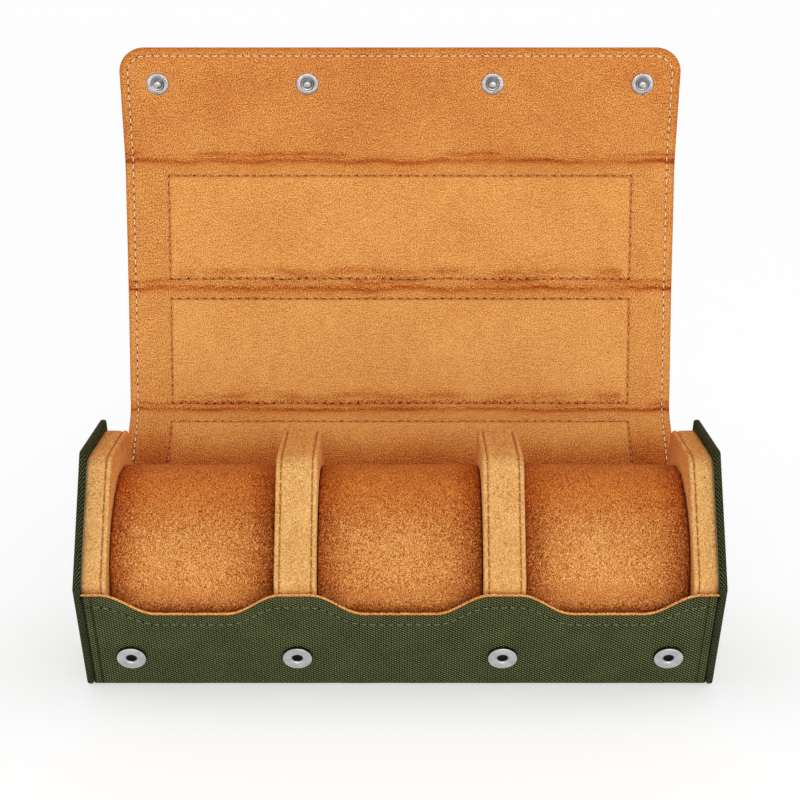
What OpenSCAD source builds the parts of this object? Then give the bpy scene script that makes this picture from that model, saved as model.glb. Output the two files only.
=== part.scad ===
// Hexagonal travel case for three watches: a canvas tray with padded ends and dividers,
// three lift-out suede pillows, and a four-panel lid that wraps over the top and snaps shut.
// X runs along the case, -Y is its front, +Z is up. The origin is the centre of the base.

/* [Case] */
// Overall width across the two end caps
case_w = 242; // [200:1:300]
// Side of the hexagonal profile
hex_side = 53.7; // [50:0.1:60]
// Thickness of each end cap
cap_t = 2.5; // [2:0.1:4]
// Thickness of the canvas skin on an end cap
cap_skin_t = 0.6; // [0.4:0.1:0.8]
// Width of the canvas turned over on the inner face of an end cap
cap_turn_in = 9; // [5:0.5:14]
// Corner radius of an end cap
cap_corner_r = 2; // [0.5:0.5:6]

/* [Walls] */
// Thickness of the outer canvas
canvas_t = 0.8; // [0.5:0.1:1.2]
// Thickness of the stiffening boards
board_t = 1.5; // [1:0.1:2]
// Thickness of the suede lining over a board
lining_t = 0.7; // [0.5:0.1:1.2]
// Clearance on each side of a fold line
fold_gap = 0.17; // [0.1:0.01:0.3]
// Side clearance between the lid and an end cap
lid_side_gap = 0.3; // [0.2:0.1:1]

/* [Front edge] */
// Distance from the corner line down to the high points of the front edge
front_drop = 4.2; // [1.3:0.1:6]
// Depth of the scallop in front of each pillow
scallop_depth = 10.4; // [4:0.1:16]
// Width of each sloping side of a scallop
scallop_slope = 20.5; // [8:0.5:26]
// Distance that a scallop reaches past each side of its bay
scallop_reach = 2.7; // [0:0.1:4]
// Distance from the scalloped edge of the cloth down to the edge of the board in it
front_board_inset = 2; // [0.5:0.5:4]

/* [Pads and dividers] */
// Thickness of the padded lining of an end
pad_t = 9.3; // [7:0.1:16]
// Thickness of a divider
divider_t = 16; // [10:0.5:24]
// Corner radius of pads and dividers
pad_corner_r = 9; // [4:0.5:14]
// Thickness of their suede cover
cover_t = 0.8; // [0.5:0.1:1.2]
// Clearance between the pads and the walls around them
pad_gap = 0.2; // [0.1:0.1:0.6]
// Clearance between a foam core and its cover
foam_gap = 0.1; // [0:0.1:0.4]

/* [Pillows] */
// Space for the strap between a pillow and the corner in front of it or behind it
strap_space = 9.2; // [8:0.1:20]
// Space for a watch between the top of a pillow and the closed lid
head_space = 10.3; // [5:0.1:20]
// Clearance on each side of a pillow
pillow_gap = 0.8; // [0.4:0.1:3]
// Clearance under a pillow
pillow_seat_gap = 0.3; // [0.2:0.1:1]

/* [Lid] */
// Distance from a side edge of the lid to its boards
lid_board_side = 20; // [10:1:40]
// Distance from a fold to the board beside it
lid_board_end = 6; // [3.5:0.5:12]
// Thickness of the closing flap
flap_t = 1.9; // [1.7:0.1:3]
// Clearance between the flap and the front wall
flap_gap = 0.3; // [0.2:0.1:1]
// Thickness of the stiffener in the flap
stiffener_t = 0.5; // [0.3:0.1:0.7]
// Distance from the edges of the flap to its stiffener
stiffener_inset = 6; // [3:0.5:12]
// Corner radius of the flap
flap_corner_r = 11; // [4:0.5:20]
// Distance from the snaps to the free edge of the flap
flap_lip = 15.6; // [8:0.2:20]

/* [Open position] */
// Lean of the rear lid panel from vertical
rear_lean = 52; // [30:1:60]
// Lean of the top lid panel from vertical
top_lean = 5; // [0:1:12]
// Lean of the front lid panel from vertical
front_lean = 2; // [-4:1:8]
// Lean of the flap from vertical
flap_lean = -15; // [-30:1:0]

/* [Snaps] */
// Distance of an inner snap outwards from the middle of the divider behind it
inner_snap_offset = 0; // [-4:0.1:4]
// Distance of an outer snap from the end of the front wall
outer_snap_inset = 16.2; // [12:0.2:24]
// Distance from the corner line down to the snap sockets
snap_drop = 37; // [30:0.5:43]
// Diameter of a socket
socket_d = 11.4; // [9:0.2:14]
// Height of a socket above the canvas
socket_h = 1.6; // [1.2:0.1:2]
// Diameter of the hole in a socket
socket_bore = 4; // [3.6:0.1:5]
// Diameter of a stud
stud_d = 9.4; // [8:0.2:12]
// Height of the ring of a stud above the lining
stud_h = 0.9; // [0.6:0.1:1.2]
// Diameter of the nub of a stud
nub_d = 3.3; // [2.6:0.1:3.3]
// Height of the nub above the ring
nub_h = 1.3; // [0.6:0.1:1.4]
// Diameter of a snap cap on the outside of the flap
snap_cap_d = 12; // [9:0.5:15]
// Height of a snap cap
snap_cap_h = 1.4; // [0.8:0.1:2]
// Diameter of the posts that rivet the snaps
post_d = 2.4; // [1.6:0.1:2.4]
// Radial clearance of a post in its hole
post_gap = 0.1; // [0.05:0.05:0.3]

/* [Hidden] */

canvas_green = [0.24, 0.29, 0.16];
suede_tan = [0.84, 0.53, 0.26];
suede_dark = [0.72, 0.42, 0.18];
board_grey = [0.66, 0.62, 0.55];
foam_cream = [0.93, 0.90, 0.80];
snap_nickel = [0.78, 0.78, 0.78];

// The profile: a regular hexagon standing on one side
half_h = hex_side * cos(30);
front_corner = [-hex_side, half_h];
base_front = [-hex_side / 2, 0];
base_back = [hex_side / 2, 0];
back_corner = [hex_side, half_h];

// Lean from vertical of the three tray walls, followed from front to back
front_wall_lean = 150;
base_wall_lean = 90;
back_wall_lean = 30;

// Neighbouring walls of the closed case meet on a plane at this slope
mitre = tan(30);
cut_over = 1; // how far a cutter reaches past what it cuts

wall_t = canvas_t + board_t + lining_t;
inner_w = case_w - 2 * cap_t;
lid_w = inner_w - 2 * lid_side_gap;
pad_apothem = half_h - wall_t - pad_gap;
bay_w = (inner_w - 2 * pad_t - 2 * divider_t) / 3;
divider_x = (bay_w + divider_t) / 2;
bay_x = bay_w + divider_t;
scallop_half_w = bay_w / 2 + scallop_reach;
pillow_w = bay_w - 2 * pillow_gap;
pillow_depth = 2 * (hex_side - wall_t / cos(30) - strap_space);
pillow_height = 2 * (half_h - wall_t) - pillow_seat_gap - head_space;
pillow_z = wall_t + pillow_seat_gap + pillow_height / 2;
ellipse_step = 7.5;
scallop_steps = 24;
scallop_lift = 0.02; // how far the ends of a scallop lie above the edge that they cut

// The flap lies outside the front wall, so its fold is a little past the corner line
flap_stand_off = flap_t + flap_gap;
fold_over = flap_stand_off / sin(60);
flap_snap_u = snap_drop - fold_over * cos(60);
flap_len = flap_snap_u + flap_lip;
inner_snap_x = divider_x + inner_snap_offset;
outer_snap_x = inner_w / 2 - outer_snap_inset;
snap_xs = [-outer_snap_x, -inner_snap_x, inner_snap_x, outer_snap_x];

// Fold lines of the open lid, each one panel further along the chain
rear_fold = back_corner;
top_fold = next_fold(rear_fold, rear_lean, hex_side);
front_fold = next_fold(top_fold, top_lean, hex_side);
flap_fold = next_fold(front_fold, front_lean, hex_side + fold_over);

// Post, flange and bore sizes that follow from the snaps
bore_chamfer = 0.9;
socket_rim_h = 0.5;
socket_shoulder = 1.5;
socket_post_d = socket_bore - 0.3;
socket_post_rise = 0.3;
post_wall = 0.5;
flange_d = 8;
flange_t = 0.4;
stud_bore_depth = 0.7;
post_end_gap = 0.1;

function next_fold(at, lean, len) = [at[0] + len * sin(lean), at[1] + len * cos(lean)];

// Corner points of the hexagon with rounded corners, centred on the profile
function soft_hexagon(apothem, r) = [
    for (i = [0:5], a = [-30:10:30])
        let (c = (apothem - r) / cos(30))
        [
            c * cos(60 * i) + r * cos(60 * i + a),
            half_h + c * sin(60 * i) + r * sin(60 * i + a)
        ]
];

function ellipse(rx, ry, cy) = [
    for (a = [0:ellipse_step:359]) [rx * cos(a), cy + ry * sin(a)]
];

// One layer of a wall between two depths, cut back to the mitre planes at both folds
function mitred(len, near, far) = [
    [fold_gap + near * mitre, near],
    [len - fold_gap - near * mitre, near],
    [len - fold_gap - far * mitre, far],
    [fold_gap + far * mitre, far]
];

// A point of the tray wall, at a distance along one side of it and a depth from outside
function on_wall(at, lean, along, depth) = [
    at[0] + along * sin(lean) - depth * cos(lean),
    at[1] + along * cos(lean) + depth * sin(lean)
];

// Distance from the corner line down to the front edge of the tray at one depth
function front_edge(depth) = max(front_drop, fold_gap + depth * mitre);

// The points of a sheet of the tray at one depth, from the front edge round to the back edge
function tray_line(depth) = [
    on_wall(front_corner, front_wall_lean, front_edge(depth), depth),
    on_wall(base_front, base_wall_lean, depth * mitre, depth),
    on_wall(base_back, back_wall_lean, depth * mitre, depth),
    on_wall(base_back, back_wall_lean, hex_side - fold_gap - depth * mitre, depth)
];

function reversed(list) = [for (i = [len(list) - 1:-1:0]) list[i]];

function ease(t) = (1 - cos(180 * min(max(t, 0), 1))) / 2;

// Depth of the scalloped edge at a distance x from the middle of a scallop
function scallop(x) = scallop_depth * ease((scallop_half_w - abs(x)) / scallop_slope);

// Extrudes an outline of y and z along the case
module along_x(x0, w) {
    translate([x0, 0, 0])
        rotate([90, 0, 90])
            linear_extrude(w)
                children();
}

// Local frame of a wall: Y runs along it from its fold, Z goes inwards from its outer face
module on_panel(at, lean) {
    translate([0, at[0], at[1]])
        rotate([90 - lean, 0, 0])
            children();
}

module mirrored_if(is_mirrored) {
    mirror([is_mirrored ? 1 : 0, 0, 0]) children();
}

/* ---- end caps, drawn at the right end ---- */

module cap_board() {
    along_x(case_w / 2 - cap_t + cap_skin_t, cap_t - 2 * cap_skin_t)
        polygon(soft_hexagon(half_h - cap_skin_t, cap_corner_r));
}

module cap_canvas() {
    difference() {
        along_x(case_w / 2 - cap_t, cap_t)
            polygon(soft_hexagon(half_h, cap_corner_r));
        cap_board();
        along_x(case_w / 2 - cap_t - cut_over, cap_skin_t + 2 * cut_over)
            polygon(soft_hexagon(half_h - cap_turn_in, cap_corner_r));
    }
}

module end_cap_board_left() { color(board_grey) mirrored_if(true) cap_board(); }
module end_cap_board_right() { color(board_grey) cap_board(); }
module end_cap_canvas_left() { color(canvas_green) mirrored_if(true) cap_canvas(); }
module end_cap_canvas_right() { color(canvas_green) cap_canvas(); }

/* ---- padded ends and dividers ---- */

// A slab with the padded profile, thinner all round by an inset
module pad_slab(x0, w, inset) {
    along_x(x0, w) polygon(soft_hexagon(pad_apothem - inset, pad_corner_r - inset));
}

module pad_foam() {
    pad_slab(inner_w / 2 - pad_t + cover_t + foam_gap, pad_t - cover_t - foam_gap,
        cover_t + foam_gap);
}

module pad_cover() {
    difference() {
        pad_slab(inner_w / 2 - pad_t, pad_t, 0);
        pad_slab(inner_w / 2 - pad_t + cover_t, pad_t, cover_t);
    }
}

module divider_foam() {
    inset = cover_t + foam_gap;
    pad_slab(divider_x - divider_t / 2 + inset, divider_t - 2 * inset, inset);
}

module divider_cover() {
    difference() {
        pad_slab(divider_x - divider_t / 2, divider_t, 0);
        pad_slab(divider_x - divider_t / 2 + cover_t, divider_t - 2 * cover_t, cover_t);
    }
}

module end_pad_foam_left() { color(foam_cream) mirrored_if(true) pad_foam(); }
module end_pad_foam_right() { color(foam_cream) pad_foam(); }
module end_pad_cover_left() { color(suede_tan) mirrored_if(true) pad_cover(); }
module end_pad_cover_right() { color(suede_tan) pad_cover(); }
module divider_foam_left() { color(foam_cream) mirrored_if(true) divider_foam(); }
module divider_foam_right() { color(foam_cream) divider_foam(); }
module divider_cover_left() { color(suede_tan) mirrored_if(true) divider_cover(); }
module divider_cover_right() { color(suede_tan) divider_cover(); }

/* ---- tray ---- */

// Everything that the three scallops remove from the front wall, or from it and a margin
module scallop_cut(margin) {
    on_panel(front_corner, front_wall_lean)
        for (i = [-1:1])
            translate([i * bay_x, 0, -cut_over])
                linear_extrude(wall_t + 2 * cut_over)
                    polygon(concat(
                        [[scallop_half_w, -cut_over], [-scallop_half_w, -cut_over]],
                        [
                            for (k = [0:scallop_steps])
                                let (x = scallop_half_w * (2 * k / scallop_steps - 1))
                                [x, front_drop + margin + scallop(x) - scallop_lift]
                        ]
                    ));
}

// Round holes through the front wall at the four sockets, between two depths
module socket_holes(d, near, far) {
    on_panel(front_corner, front_wall_lean)
        for (x = snap_xs)
            translate([x, snap_drop, near])
                cylinder(d = d, h = far - near, $fn = 48);
}

module tray_sheet(near, far) {
    along_x(-inner_w / 2, inner_w)
        polygon(concat(tray_line(near), reversed(tray_line(far))));
}

module tray_canvas() {
    color(canvas_green)
        difference() {
            tray_sheet(0, canvas_t);
            scallop_cut(0);
            socket_holes(socket_post_d + 2 * post_gap, -cut_over, canvas_t + cut_over);
        }
}

module tray_lining() {
    color(suede_tan)
        difference() {
            tray_sheet(canvas_t + board_t, wall_t);
            scallop_cut(0);
        }
}

module wall_board(at, lean) {
    on_panel(at, lean)
        along_x(-inner_w / 2, inner_w)
            polygon(mitred(hex_side, canvas_t, canvas_t + board_t));
}

module front_board() {
    color(board_grey)
        difference() {
            wall_board(front_corner, front_wall_lean);
            on_panel(front_corner, front_wall_lean)
                translate([-inner_w / 2 - cut_over, -hex_side / 2, -cut_over])
                    cube([inner_w + 2 * cut_over, hex_side / 2 + front_drop + front_board_inset,
                        wall_t + 2 * cut_over]);
            scallop_cut(front_board_inset);
            socket_holes(socket_post_d + 2 * post_gap, 0, wall_t);
            socket_holes(flange_d + 2 * post_gap, canvas_t + board_t - flange_t, wall_t);
        }
}

module bottom_board() { color(board_grey) wall_board(base_front, base_wall_lean); }
module back_board() { color(board_grey) wall_board(base_back, back_wall_lean); }

/* ---- snap sockets on the front wall ---- */

module snap_sockets() {
    bore_r = socket_bore / 2;
    rim_r = socket_d / 2;
    color(snap_nickel)
        on_panel(front_corner, front_wall_lean)
            for (x = snap_xs)
                translate([x, snap_drop, 0])
                    mirror([0, 0, 1])
                        rotate_extrude($fn = 64)
                            polygon([
                                [bore_r, 0],
                                [rim_r, 0],
                                [rim_r, socket_rim_h],
                                [rim_r - socket_shoulder, socket_h],
                                [bore_r + bore_chamfer, socket_h],
                                [bore_r, socket_h - bore_chamfer]
                            ]);
}

module socket_posts() {
    post_r = socket_post_d / 2;
    flange_z = canvas_t + board_t;
    color(snap_nickel)
        on_panel(front_corner, front_wall_lean)
            for (x = snap_xs)
                translate([x, snap_drop, 0])
                    rotate_extrude($fn = 48)
                        polygon([
                            [post_r - post_wall, -socket_post_rise],
                            [post_r, -socket_post_rise],
                            [post_r, flange_z - flange_t],
                            [flange_d / 2, flange_z - flange_t],
                            [flange_d / 2, flange_z],
                            [post_r - post_wall, flange_z]
                        ]);
}

/* ---- lid panels, hinged in a chain ---- */

module panel_canvas(at, lean, tail) {
    on_panel(at, lean)
        along_x(-lid_w / 2, lid_w)
            polygon(mitred(hex_side + tail, 0, canvas_t));
}

// The board of a lid panel, or with a clearance the pocket that holds it
module board_block(gap) {
    translate([-lid_w / 2 + lid_board_side - gap, lid_board_end - gap, canvas_t])
        cube([lid_w - 2 * lid_board_side + 2 * gap, hex_side - 2 * lid_board_end + 2 * gap,
            board_t]);
}

module panel_board(at, lean) {
    on_panel(at, lean) board_block(0);
}

module panel_lining(at, lean) {
    on_panel(at, lean)
        difference() {
            along_x(-lid_w / 2, lid_w)
                polygon(mitred(hex_side, canvas_t, wall_t));
            board_block(foam_gap);
        }
}

module lid_rear_canvas() { color(canvas_green) panel_canvas(rear_fold, rear_lean, 0); }
module lid_rear_board() { color(board_grey) panel_board(rear_fold, rear_lean); }
module lid_rear_lining() { color(suede_tan) panel_lining(rear_fold, rear_lean); }
module lid_top_canvas() { color(canvas_green) panel_canvas(top_fold, top_lean, 0); }
module lid_top_board() { color(board_grey) panel_board(top_fold, top_lean); }
module lid_top_lining() { color(suede_tan) panel_lining(top_fold, top_lean); }
module lid_front_canvas() { color(canvas_green) panel_canvas(front_fold, front_lean, fold_over); }
module lid_front_board() { color(board_grey) panel_board(front_fold, front_lean); }
module lid_front_lining() { color(suede_tan) panel_lining(front_fold, front_lean); }

/* ---- closing flap ---- */

// A plate of the flap between two depths, kept inside its edges, with round free corners
module flap_plate(near, far, inset) {
    w = lid_w - 2 * inset;
    r = flap_corner_r - inset;
    end = flap_len - inset;
    translate([0, 0, near])
        linear_extrude(far - near)
            union() {
                translate([-w / 2, inset]) square([w, end - r - inset]);
                translate([-w / 2 + r, inset]) square([w - 2 * r, end - inset]);
                for (side = [-1, 1])
                    translate([side * (w / 2 - r), end - r]) circle(r = r, $fn = 64);
            }
}

// A full-size layer of the flap, cut back to the mitre plane at its fold
module flap_layer(near, far) {
    intersection() {
        flap_plate(near, far, 0);
        along_x(-lid_w / 2 - cut_over, lid_w + 2 * cut_over)
            polygon(mitred(2 * flap_len, near, far));
    }
}

module flap_holes(d) {
    for (x = snap_xs)
        translate([x, flap_snap_u, -cut_over])
            cylinder(d = d, h = flap_t + 2 * cut_over, $fn = 32);
}

module flap_canvas() {
    color(canvas_green)
        on_panel(flap_fold, flap_lean)
            difference() {
                flap_layer(0, canvas_t);
                flap_holes(post_d + 2 * post_gap);
            }
}

module flap_stiffener() {
    color(board_grey)
        on_panel(flap_fold, flap_lean)
            difference() {
                flap_plate(canvas_t, canvas_t + stiffener_t, stiffener_inset);
                flap_holes(post_d + 2 * post_gap);
            }
}

module flap_lining() {
    color(suede_tan)
        on_panel(flap_fold, flap_lean)
            difference() {
                flap_layer(canvas_t, flap_t);
                flap_plate(canvas_t - cut_over, canvas_t + stiffener_t,
                    stiffener_inset - foam_gap);
                flap_holes(post_d + 2 * post_gap);
            }
}

module snap_studs() {
    bore_r = post_d / 2 + post_gap;
    nub_r = nub_d / 2;
    top_z = stud_h + nub_h;
    edge = stud_h / 3;
    color(snap_nickel)
        on_panel(flap_fold, flap_lean)
            for (x = snap_xs)
                translate([x, flap_snap_u, flap_t])
                    rotate_extrude($fn = 64)
                        polygon([
                            [bore_r, 0],
                            [stud_d / 2, 0],
                            [stud_d / 2, stud_h - edge],
                            [stud_d / 2 - edge, stud_h],
                            [nub_r, stud_h],
                            [nub_r, top_z - edge],
                            [nub_r - edge, top_z],
                            [0, top_z],
                            [0, stud_bore_depth],
                            [bore_r, stud_bore_depth]
                        ]);
}

module snap_caps() {
    post_r = post_d / 2;
    cap_r = snap_cap_d / 2;
    edge = snap_cap_h / 3;
    color(snap_nickel)
        on_panel(flap_fold, flap_lean)
            for (x = snap_xs)
                translate([x, flap_snap_u, 0])
                    rotate_extrude($fn = 64)
                        polygon([
                            [0, -snap_cap_h],
                            [cap_r - 3 * edge, -snap_cap_h],
                            [cap_r - edge, -2 * edge],
                            [cap_r, -edge],
                            [cap_r, 0],
                            [post_r, 0],
                            [post_r, flap_t + stud_bore_depth - post_end_gap],
                            [0, flap_t + stud_bore_depth - post_end_gap]
                        ]);
}

/* ---- pillows ---- */

// A pillow of the given place along the row, thinner all round by an inset
module pillow_block(place, inset) {
    along_x(place * bay_x - pillow_w / 2 + inset, pillow_w - 2 * inset)
        polygon(ellipse(pillow_depth / 2 - inset, pillow_height / 2 - inset, pillow_z));
}

module pillow_cover(place) {
    color(suede_dark)
        difference() {
            pillow_block(place, 0);
            pillow_block(place, cover_t);
        }
}

module pillow_core(place) {
    color(foam_cream) pillow_block(place, cover_t + foam_gap);
}

module pillow_core_left() { pillow_core(-1); }
module pillow_core_middle() { pillow_core(0); }
module pillow_core_right() { pillow_core(1); }
module pillow_cover_left() { pillow_cover(-1); }
module pillow_cover_middle() { pillow_cover(0); }
module pillow_cover_right() { pillow_cover(1); }

end_cap_board_left();
end_cap_board_right();
end_cap_canvas_left();
end_cap_canvas_right();
end_pad_foam_left();
end_pad_foam_right();
end_pad_cover_left();
end_pad_cover_right();
divider_foam_left();
divider_foam_right();
divider_cover_left();
divider_cover_right();
tray_canvas();
tray_lining();
front_board();
bottom_board();
back_board();
snap_sockets();
socket_posts();
lid_rear_canvas();
lid_rear_board();
lid_rear_lining();
lid_top_canvas();
lid_top_board();
lid_top_lining();
lid_front_canvas();
lid_front_board();
lid_front_lining();
flap_canvas();
flap_stiffener();
flap_lining();
snap_studs();
snap_caps();
pillow_core_left();
pillow_core_middle();
pillow_core_right();
pillow_cover_left();
pillow_cover_middle();
pillow_cover_right();
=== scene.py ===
import math
from typing import NamedTuple

import bpy
import numpy as np
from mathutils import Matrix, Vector


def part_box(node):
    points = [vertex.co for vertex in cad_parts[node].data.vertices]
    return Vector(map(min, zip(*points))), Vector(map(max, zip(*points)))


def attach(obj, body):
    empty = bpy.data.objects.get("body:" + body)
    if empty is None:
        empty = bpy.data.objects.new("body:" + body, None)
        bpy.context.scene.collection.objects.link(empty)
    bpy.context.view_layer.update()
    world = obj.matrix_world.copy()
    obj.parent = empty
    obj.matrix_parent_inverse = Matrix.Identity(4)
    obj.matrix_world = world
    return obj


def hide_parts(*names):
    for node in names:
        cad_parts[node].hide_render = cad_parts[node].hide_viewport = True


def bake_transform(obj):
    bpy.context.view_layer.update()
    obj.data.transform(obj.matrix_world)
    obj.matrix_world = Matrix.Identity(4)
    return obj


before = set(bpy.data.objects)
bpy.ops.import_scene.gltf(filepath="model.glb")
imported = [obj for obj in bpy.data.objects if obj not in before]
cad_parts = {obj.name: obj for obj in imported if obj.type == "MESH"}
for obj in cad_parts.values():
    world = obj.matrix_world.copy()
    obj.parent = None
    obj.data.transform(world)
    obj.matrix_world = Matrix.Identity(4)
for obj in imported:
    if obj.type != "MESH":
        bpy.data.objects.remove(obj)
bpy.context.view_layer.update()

MM = 0.001

# ---------------------------------------------------------------- sizes, as in the CAD model

HEX_SIDE = 53.7
HALF_H = HEX_SIDE * math.cos(math.radians(30))
INNER_HALF = 118.5
CASE_HALF = 121.0
LID_HALF = 118.2
WALL_T = 3.0
FLAP_T = 1.9
FOLD_OVER = (FLAP_T + 0.3) / math.sin(math.radians(60))
SNAP_DROP = 37.0
FLAP_SNAP_U = SNAP_DROP - FOLD_OVER / 2
FLAP_LEN = FLAP_SNAP_U + 15.6
FLAP_CORNER = 11.0
FRONT_DROP = 4.2
SCALLOP_DEPTH = 10.4
SCALLOP_SLOPE = 20.5
SCALLOP_REACH = 2.7
PAD_T = 9.3
DIVIDER_T = 16.0
BAY_W = (2 * INNER_HALF - 2 * PAD_T - 2 * DIVIDER_T) / 3
BAY_X = BAY_W + DIVIDER_T
DIVIDER_X = (BAY_W + DIVIDER_T) / 2
PAD_APOTHEM = 43.3
PAD_CORNER = 9.0
SNAP_XS = (-102.3, -DIVIDER_X, DIVIDER_X, 102.3)

# ---------------------------------------------------------------- sizes of the detail

FOLD_REACH = 5.0        # how far the soft part of a fold goes each way along the sheet
CORNER_REACH_OUT = 1.8  # the same for the fixed corners of the tray, on the outside
CORNER_REACH_IN = 6.0   # and on the inside
RIM = 1.1               # depth at which the edges of canvas and suede meet
SCALLOP_RIM = 1.0       # the same along the scalloped edge
SOFT_T = 2.6            # depth of the suede where no board lies under it
EDGE_ROUND = 1.1        # how far in an edge is rounded
CANVAS_SUNK = 0.3       # how deep canvas lies where no board holds it out
TRAY_CANVAS_SUNK = 0.05
STITCH_EDGE = 3.5       # from the edge of the lid to its line of stitches
STITCH_END = 3.8        # from each end of the front wall to its line of stitches
STITCH_FRONT = 5.3      # from the scalloped edge to its line of stitches, beside the bays
STITCH_DIP = 0.92       # share of the depth of a scallop that this line follows
STITCH_PITCH = 3.45
STITCH_GAP = 0.85
BOX_PITCH = 3.7
BOX_HALF = 99.5         # half the width of a stitched rectangle on the lid
EDGE_MARKS = (0.05, 0.16, 0.33, 0.55, 0.8, 1.1)     # extra grid lines, this far inside an edge

# Lines and creases pressed into the sheets: how deep, and how wide
STITCH_LINE = (0.2, 0.5)
SUEDE_EDGE_LINE = (0.32, 0.55)
SUEDE_BOX_LINE = (0.24, 0.6)
CANVAS_BOX_LINE = (0.22, 0.5)
CANVAS_FOLD = (0.25, 2.2)
FOLD_DIP = (0.3, 2.8)
CREASE = (0.3, 0.9)
CREASE_LIP = (0.15, 0.8)
LIP_AT = 1.7            # from a crease to the lip beside it
SECOND_CREASE = (0.22, 0.8)
SECOND_AT = 3.2         # from a crease to the broken one beside it

# Painted shade along the same lines and creases: how much darker, and how wide
EDGE_LINE_SHADE = (0.25, 0.5)
BOX_LINE_SHADE = (0.4, 0.5)
BOX_BAND_SHADE = (0.5, 1.9)
FOLD_SHADE = (0.2, 2.8)
CREASE_SHADE = (0.5, 1.0)
SECOND_SHADE = (0.42, 0.9)


class Wall(NamedTuple):
    """One flat wall: arc length at its start, length, lean from vertical, and start point."""
    v: float
    length: float
    lean: float
    y: float
    z: float


class Fold(NamedTuple):
    """A fold of the lid: the wall that starts at it, and the bodies on its two sides."""
    name: str
    wall: str
    before: str
    after: str
    crease: float       # from the start of the wall to the crease
    seeds: tuple        # of the crease's course, its depth, the second crease and its painted shade


class Box(NamedTuple):
    """A stitched rectangle, from one distance along its panel to another."""
    wall: str
    low: float
    high: float


def lay_out_walls():
    y, z, v = -HEX_SIDE, HALF_H, 0.0
    walls = {}
    for name, lean, length in (
        ("front_wall", 150, HEX_SIDE), ("base", 90, HEX_SIDE), ("back_wall", 30, HEX_SIDE),
        ("lid_rear", 52, HEX_SIDE), ("lid_top", 5, HEX_SIDE),
        ("lid_front", 2, HEX_SIDE + FOLD_OVER), ("flap", -15, FLAP_LEN),
    ):
        walls[name] = Wall(v, length, math.radians(lean), y, z)
        y += length * math.sin(math.radians(lean))
        z += length * math.cos(math.radians(lean))
        v += length
    return walls


WALLS = lay_out_walls()
LID_START = WALLS["lid_rear"].v
SHEET_END = WALLS["flap"].v + FLAP_LEN

FOLDS = (
    Fold("fold_rear", "lid_rear", "tray", "lid_rear", 0.0, (123, 39, 65, 137)),
    Fold("fold_top", "lid_top", "lid_rear", "lid_top", 1.3, (120, 38, 64, 139)),
    Fold("fold_front", "lid_front", "lid_top", "lid_front", 1.6, (126, 40, 66, 125)),
    Fold("fold_flap", "flap", "lid_front", "flap", 0.9, (121, 35, 61, 125)),
)
BOXES = (Box("lid_rear", 3.5, 47.4), Box("lid_top", 5.2, 50.8), Box("lid_front", 6.1, 50.5))


# ---------------------------------------------------------------- small maths

def ease(t):
    t = np.clip(t, 0, 1)
    return t * t * (3 - 2 * t)


def ridge(distance, width):
    return np.exp(-(distance / width) ** 2)


def pressed(distance, line):
    """A line's share of a depth or tone, at a distance from its middle."""
    return line[0] * ridge(distance, line[1])


def ripple(a, b, size, seed):
    """Smooth seeded unevenness between about -1 and 1, with waves about `size` long."""
    rng = np.random.default_rng(seed)
    total = 0.0
    for _ in range(7):
        turn = rng.uniform(0, 2 * math.pi)
        rate = 2 * math.pi / size * rng.uniform(0.6, 1.7)
        total = total + np.sin((a * math.cos(turn) + b * math.sin(turn)) * rate + rng.uniform(0, 6.28))
    return total / 3.0


def waver(x, size, seed):
    """The same along x alone."""
    return ripple(x, 0 * x, size, seed)


def spaced(low, high, step, lines=(), fine=0.35, edges=(True, True)):
    """Grid positions from low to high, closer together beside the lines and at the edges."""
    halo, least = 1.75, 0.04
    marks = list(np.linspace(low, high, max(2, int(round((high - low) / step)) + 1)))
    for line in lines:
        marks += list(np.arange(line - halo, line + halo + fine / 2, fine))
    marks += [low + mark for mark in EDGE_MARKS] if edges[0] else []
    marks += [high - mark for mark in EDGE_MARKS] if edges[1] else []
    kept = [low]
    for mark in sorted(m for m in marks if low < m < high):
        if mark - kept[-1] > least:
            kept.append(mark)
    if high - kept[-1] < least:
        kept.pop()
    return np.array(kept + [high])


def chain_frame(v, corner_reach):
    """Point y, z of the outer face and its lean at arc length v, with every fold rounded."""
    walls = list(WALLS.values())
    starts, leans, ys, zs = (
        np.array([getattr(wall, field) for wall in walls]) for field in ("v", "lean", "y", "z"))
    v = np.asarray(v, float)
    k = np.clip(np.searchsorted(starts, v, side="right") - 1, 0, len(walls) - 1)
    lean = leans[k]
    y = ys[k] + (v - starts[k]) * np.sin(lean)
    z = zs[k] + (v - starts[k]) * np.cos(lean)
    for i in range(1, len(walls)):
        reach = FOLD_REACH if starts[i] >= LID_START else corner_reach
        t = ((v - starts[i]) / reach + 1) / 2
        near = (t > 0) & (t < 1)
        before, after = leans[i - 1], leans[i]
        round_y = ys[i] + reach * (np.sin(after) * t ** 2 - np.sin(before) * (1 - t) ** 2)
        round_z = zs[i] + reach * (np.cos(after) * t ** 2 - np.cos(before) * (1 - t) ** 2)
        turned = np.arctan2((1 - t) * np.sin(before) + t * np.sin(after),
                            (1 - t) * np.cos(before) + t * np.cos(after))
        y = np.where(near, round_y, y)
        z = np.where(near, round_z, z)
        lean = np.where(near, turned, lean)
    return y, z, lean


def sheet_point(x, v, depth, corner_reach=CORNER_REACH_OUT):
    """Points at arc length v around the case, at a depth inwards from its outer face."""
    y, z, lean = chain_frame(v, corner_reach)
    x = np.broadcast_to(x, y.shape)
    return np.stack([x, y - depth * np.cos(lean), z + depth * np.sin(lean)], -1)


def inward(v):
    lean = chain_frame(v, CORNER_REACH_OUT)[2]
    return np.stack([np.zeros_like(lean), -np.cos(lean), np.sin(lean)], -1)


# ---------------------------------------------------------------- outlines, relief and tone as painted light and shade

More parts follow.
